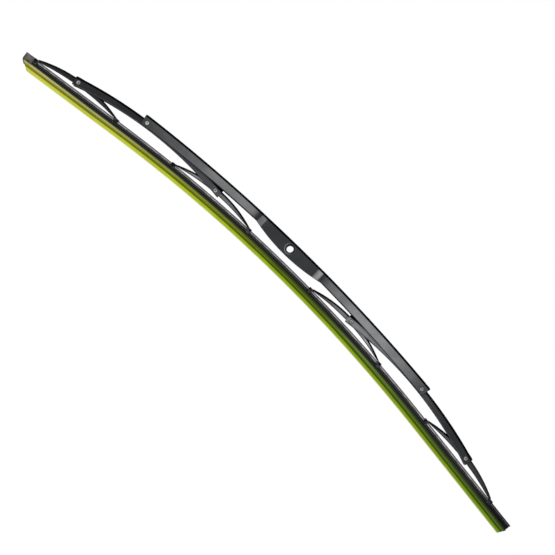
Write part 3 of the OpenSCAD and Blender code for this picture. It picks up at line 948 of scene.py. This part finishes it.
def head_colour_and_painted_light():
    """Black extrusion with painted light: the flange on top painted grey as a highlight, and darker below as
    painted shade.
    """
    material, tree, shader = new_material("head_black", 0.5, specular=0.12)
    grain = add_group(tree, GRAIN, Size=0.3, Cloud=9.0)
    depth = strip_depth(tree)
    # The grey band near the top is a painted highlight; the dark below it is painted shade.
    colour = ramp(tree, depth, -6, 0, [
        (-6, (30, 34, 22)), (-5.0, (30, 34, 26)), (-4.0, (30, 30, 28)), (-3.1, (48, 48, 48)),
        (-2.2, (88, 87, 88)), (-0.9, (92, 91, 92)), (-0.3, (84, 83, 84)), (0, (60, 60, 60))])
    shade = span(tree, grain.outputs["Grain"], 0.3, 0.7, 0.7, 1.25)
    colour = blend_colours(tree, 1.0, colour, calc(tree, "MULTIPLY", shade, free_end_shade(tree)), "MULTIPLY")
    tree.links.new(colour, shader.inputs["Base Color"])
    add_bump(tree, shader, grain.outputs["Grain"], 0.3, 0.05)
    return material


def rubber_colour_and_painted_light():
    """The squeegee: each of its bands has its colours from the clip's end to the free end, the rubber's
    yellow-green with painted light in it: painted shade under the head and in the groove, painted highlights
    on the shoulder and the lip's edge, and more light towards the clip's end.
    """
    material, tree, shader = new_material("squeegee_rubber", 0.5, specular=0.06)
    along = parts_of(tree, place_mm(tree))["X"]
    grain = add_group(tree, GRAIN, Size=0.5, Cloud=22.0)
    depth = strip_depth(tree)
    left, right = -300, 315
    # The top band is dark with painted shade under the head.
    top = ramp(tree, along, left, right, [(left, (96, 94, 60)), (0, (48, 56, 16)), (right, (26, 34, 22))])
    # The shoulder's light colours, strongest at the clip's end and around x = 110, are a painted highlight.
    shoulder = ramp(tree, along, left, right, [
        (left, (184, 182, 128)), (-100, (122, 130, 50)), (0, (62, 78, 10)), (60, (66, 86, 20)),
        (110, (94, 118, 70)), (180, (66, 86, 34)), (right, (48, 62, 28))])
    body = ramp(tree, along, left, right, [
        (left, (140, 138, 52)), (-100, (108, 118, 20)), (0, (84, 103, 12)), (right, (74, 96, 26))])
    # The groove's dark line is painted shade.
    groove = ramp(tree, along, left, right, [
        (left, (120, 120, 24)), (-100, (88, 100, 0)), (0, (58, 78, 0)), (right, (48, 70, 0))])
    # The lip's bright yellow is partly its own colour and partly a painted highlight.
    lip = ramp(tree, along, left, right, [
        (left, (192, 192, 66)), (-100, (166, 180, 34)), (0, (134, 156, 20)), (right, (102, 128, 18))])
    # A painted highlight along the lip's edge.
    pale = blend_colours(tree, 0.5, lip, from_screen(214, 218, 150))
    colour = blend_colours(tree, span(tree, depth, -5.9, -6.9), top, shoulder)
    colour = blend_colours(tree, span(tree, depth, -7.2, -8.2), colour, body)
    colour = blend_colours(tree, span(tree, depth, -8.7, -9.1), colour, groove)
    colour = blend_colours(tree, span(tree, depth, -9.7, -11.0), colour, lip)
    colour = blend_colours(tree, span(tree, depth, -12.0, -13.3), colour, pale)
    shade = span(tree, grain.outputs["Cloudiness"], 0.3, 0.7, 0.93, 1.06)
    colour = blend_colours(tree, 1.0, colour, shade, "MULTIPLY")
    tree.links.new(colour, shader.inputs["Base Color"])
    add_bump(tree, shader, grain.outputs["Grain"], 0.2, 0.04)
    return material


def dress(obj, material):
    obj.data.materials.clear()
    obj.data.materials.append(material)


# Camera, floor, sky and lights

def make_camera():
    yaw, lift, roll = math.radians(3.09), math.radians(-1.5), math.radians(44.22)
    back = Vector((math.sin(yaw) * math.cos(lift), -math.cos(yaw) * math.cos(lift), math.sin(lift)))
    level = Vector((math.cos(yaw), math.sin(yaw), 0))
    upright = back.cross(level)
    right = level * math.cos(roll) + upright * math.sin(roll)
    up = upright * math.cos(roll) - level * math.sin(roll)
    target = Vector((0.00964, 0, -0.02618))
    distance = 1.5
    data = bpy.data.cameras.new("camera")
    data.lens = 107.92
    data.sensor_width = 36
    data.clip_end = 50
    camera = bpy.data.objects.new("camera", data)
    bpy.context.scene.collection.objects.link(camera)
    turn = Matrix((right, up, back)).transposed()
    camera.matrix_world = Matrix.Translation(target + back * distance) @ turn.to_4x4()
    bpy.context.scene.camera = camera


def seen_directly(tree):
    """1 for rays from the camera, in reflections and through clear things, and 0 for scattered light."""
    light_path = tree.nodes.new("ShaderNodeLightPath")
    seen = calc(tree, "MAXIMUM", light_path.outputs["Is Camera Ray"], light_path.outputs["Is Glossy Ray"])
    return calc(tree, "MAXIMUM", seen, light_path.outputs["Is Transmission Ray"])


def make_floor():
    """A white floor, clear from below."""
    bpy.ops.object.select_all(action="DESELECT")
    bpy.ops.mesh.primitive_circle_add(vertices=96, radius=8, fill_type="NGON", location=(0, 0, -0.3))
    floor = bpy.context.object
    floor.name = "floor"
    material, tree, shader = new_material("floor_white", 0.9, specular=0.0)
    shader.inputs["Base Color"].default_value = (0.9, 0.9, 0.9, 1)
    shader.inputs["Emission Color"].default_value = (1, 1, 1, 1)
    glow = calc(tree, "MULTIPLY", seen_directly(tree), 0.5)
    tree.links.new(glow, shader.inputs["Emission Strength"])
    facing = tree.nodes.new("ShaderNodeNewGeometry")
    clear = tree.nodes.new("ShaderNodeBsdfTransparent")
    mixed = tree.nodes.new("ShaderNodeMixShader")
    tree.links.new(facing.outputs["Backfacing"], mixed.inputs[0])
    tree.links.new(shader.outputs[0], mixed.inputs[1])
    tree.links.new(clear.outputs[0], mixed.inputs[2])
    tree.links.new(mixed.outputs[0], tree.nodes["Material Output"].inputs["Surface"])
    dress(floor, material)


def make_sky():
    """White where it is seen, and about half as strong as a light."""
    world = bpy.data.worlds.new("world")
    bpy.context.scene.world = world
    world.use_nodes = True
    tree = world.node_tree
    sky = tree.nodes["Background"]
    sky.inputs["Color"].default_value = (1, 1, 1, 1)
    as_light = 0.55
    more = calc(tree, "MULTIPLY", seen_directly(tree), 1 - as_light)
    tree.links.new(calc(tree, "ADD", more, as_light), sky.inputs["Strength"])


def make_lights():
    """Square lamps aimed at the origin, each with its place, its side in metres and its power in watts."""
    for name, place, side, power in (("key", (-0.9, -1.6, 1.5), 1.2, 26), ("fill", (1.4, -1.3, 0.3), 1.2, 9),
                                     ("rim", (0.2, 1.5, 1.2), 1.2, 14)):
        data = bpy.data.lights.new(name, "AREA")
        data.size = side
        data.energy = power
        lamp = bpy.data.objects.new(name, data)
        bpy.context.scene.collection.objects.link(lamp)
        lamp.location = place
        lamp.rotation_euler = (-Vector(place)).to_track_quat("-Z", "Y").to_euler()


# The pieces

bridge = make_bridge()
levers = make_levers()
yokes = make_yokes()
strip = make_strip()
clip = make_clip()

# Their finishes: each tone is a place along the blade in millimetres and a grey as on a screen; the tones
# along the sheets are painted reflections and painted shade, and the folds' tones are painted shade

bridge_paint = paint("bridge_paint", BRIDGE_BACK, BRIDGE_EDGE, 180, [
    (-180, 52), (-120, 86), (-90, 112), (-50, 112), (-45, 92), (-42, 36), (-39, 30), (-38, 94), (-33.5, 100),
    (-32.5, 44), (31.8, 42), (32.6, 128), (37, 134), (38, 36), (39.5, 30), (42, 56), (50, 92), (80, 122),
    (115, 128), (180, 52)], [(0, 6)], edge_light_tone=20, dish=True)
lever_paint = paint("lever_paint", LEVER_BACK, LEVER_EDGE, 250, [
    (-250, 32), (-180, 28), (-100, 66), (0, 66), (100, 116), (125, 118), (170, 60), (210, 36), (250, 34)],
    [(0, 8)], edge_light_tone=60)
inner_paint_and_painted_light = paint("inner_yoke_paint_and_painted_light", INNER_BACK, INNER_EDGE, 130, [
    (-125, 30), (-119, 60), (-113, 118), (-106, 125), (-97, 85), (-67, 98), (-60, 90), (-47, 44), (39, 32),
    (47, 32), (56, 66), (67, 102), (85, 100), (106, 144), (112, 138), (122, 40)],
    [(0, 12)], edge_light_tone=60, claws=CLAWS[:2], fold_width=1.7)
outer_paint_and_painted_light = paint("outer_yoke_paint_and_painted_light", OUTER_BACK, OUTER_EDGE, 290, [
    (-250, 21), (-235, 40), (-195, 42), (195, 36), (205, 44), (211, 72), (240, 48), (290, 42)], [
    (-250, 18), (-235, 24), (195, 14), (217, 4), (235, 10), (250, 36), (290, 32)],
    edge_light_tone=36, claws=CLAWS[2:], fold_width=1.8)
dress(bridge, bridge_paint)
for piece in levers:
    dress(piece, lever_paint)
for piece in yokes:
    dress(piece, inner_paint_and_painted_light if "inner" in piece.name else outer_paint_and_painted_light)
finishes = {
    "backing_strip": head_colour_and_painted_light(),
    "squeegee": rubber_colour_and_painted_light(),
    "rail_front": plain_finish("spring_steel", (92, 90, 92), (150, 148, 150), 0.4, 0.7, shade=free_end_shade),
}
finishes["rail_back"] = finishes["rail_front"]
for node, lengths in strip.items():
    for piece in lengths:
        dress(piece, finishes[node])
dress(clip, plain_finish("clip_plastic", (34, 34, 33), (94, 92, 88), 0.55, specular=0.15, size=1.0))
zinc = plain_finish("rivet_zinc", (120, 120, 120), (200, 200, 200), 0.35, 0.85, shade=rivet_shade)
lining = plain_finish("liner_plastic", (22, 22, 22), (34, 34, 34), 0.6)
for name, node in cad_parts.items():
    if name.startswith("rivet_"):
        dress(node, zinc)
    if name.startswith("liner_"):
        dress(node, lining)

# The picture

make_camera()
make_floor()
make_sky()
make_lights()
bpy.context.scene.view_settings.view_transform = "Standard"
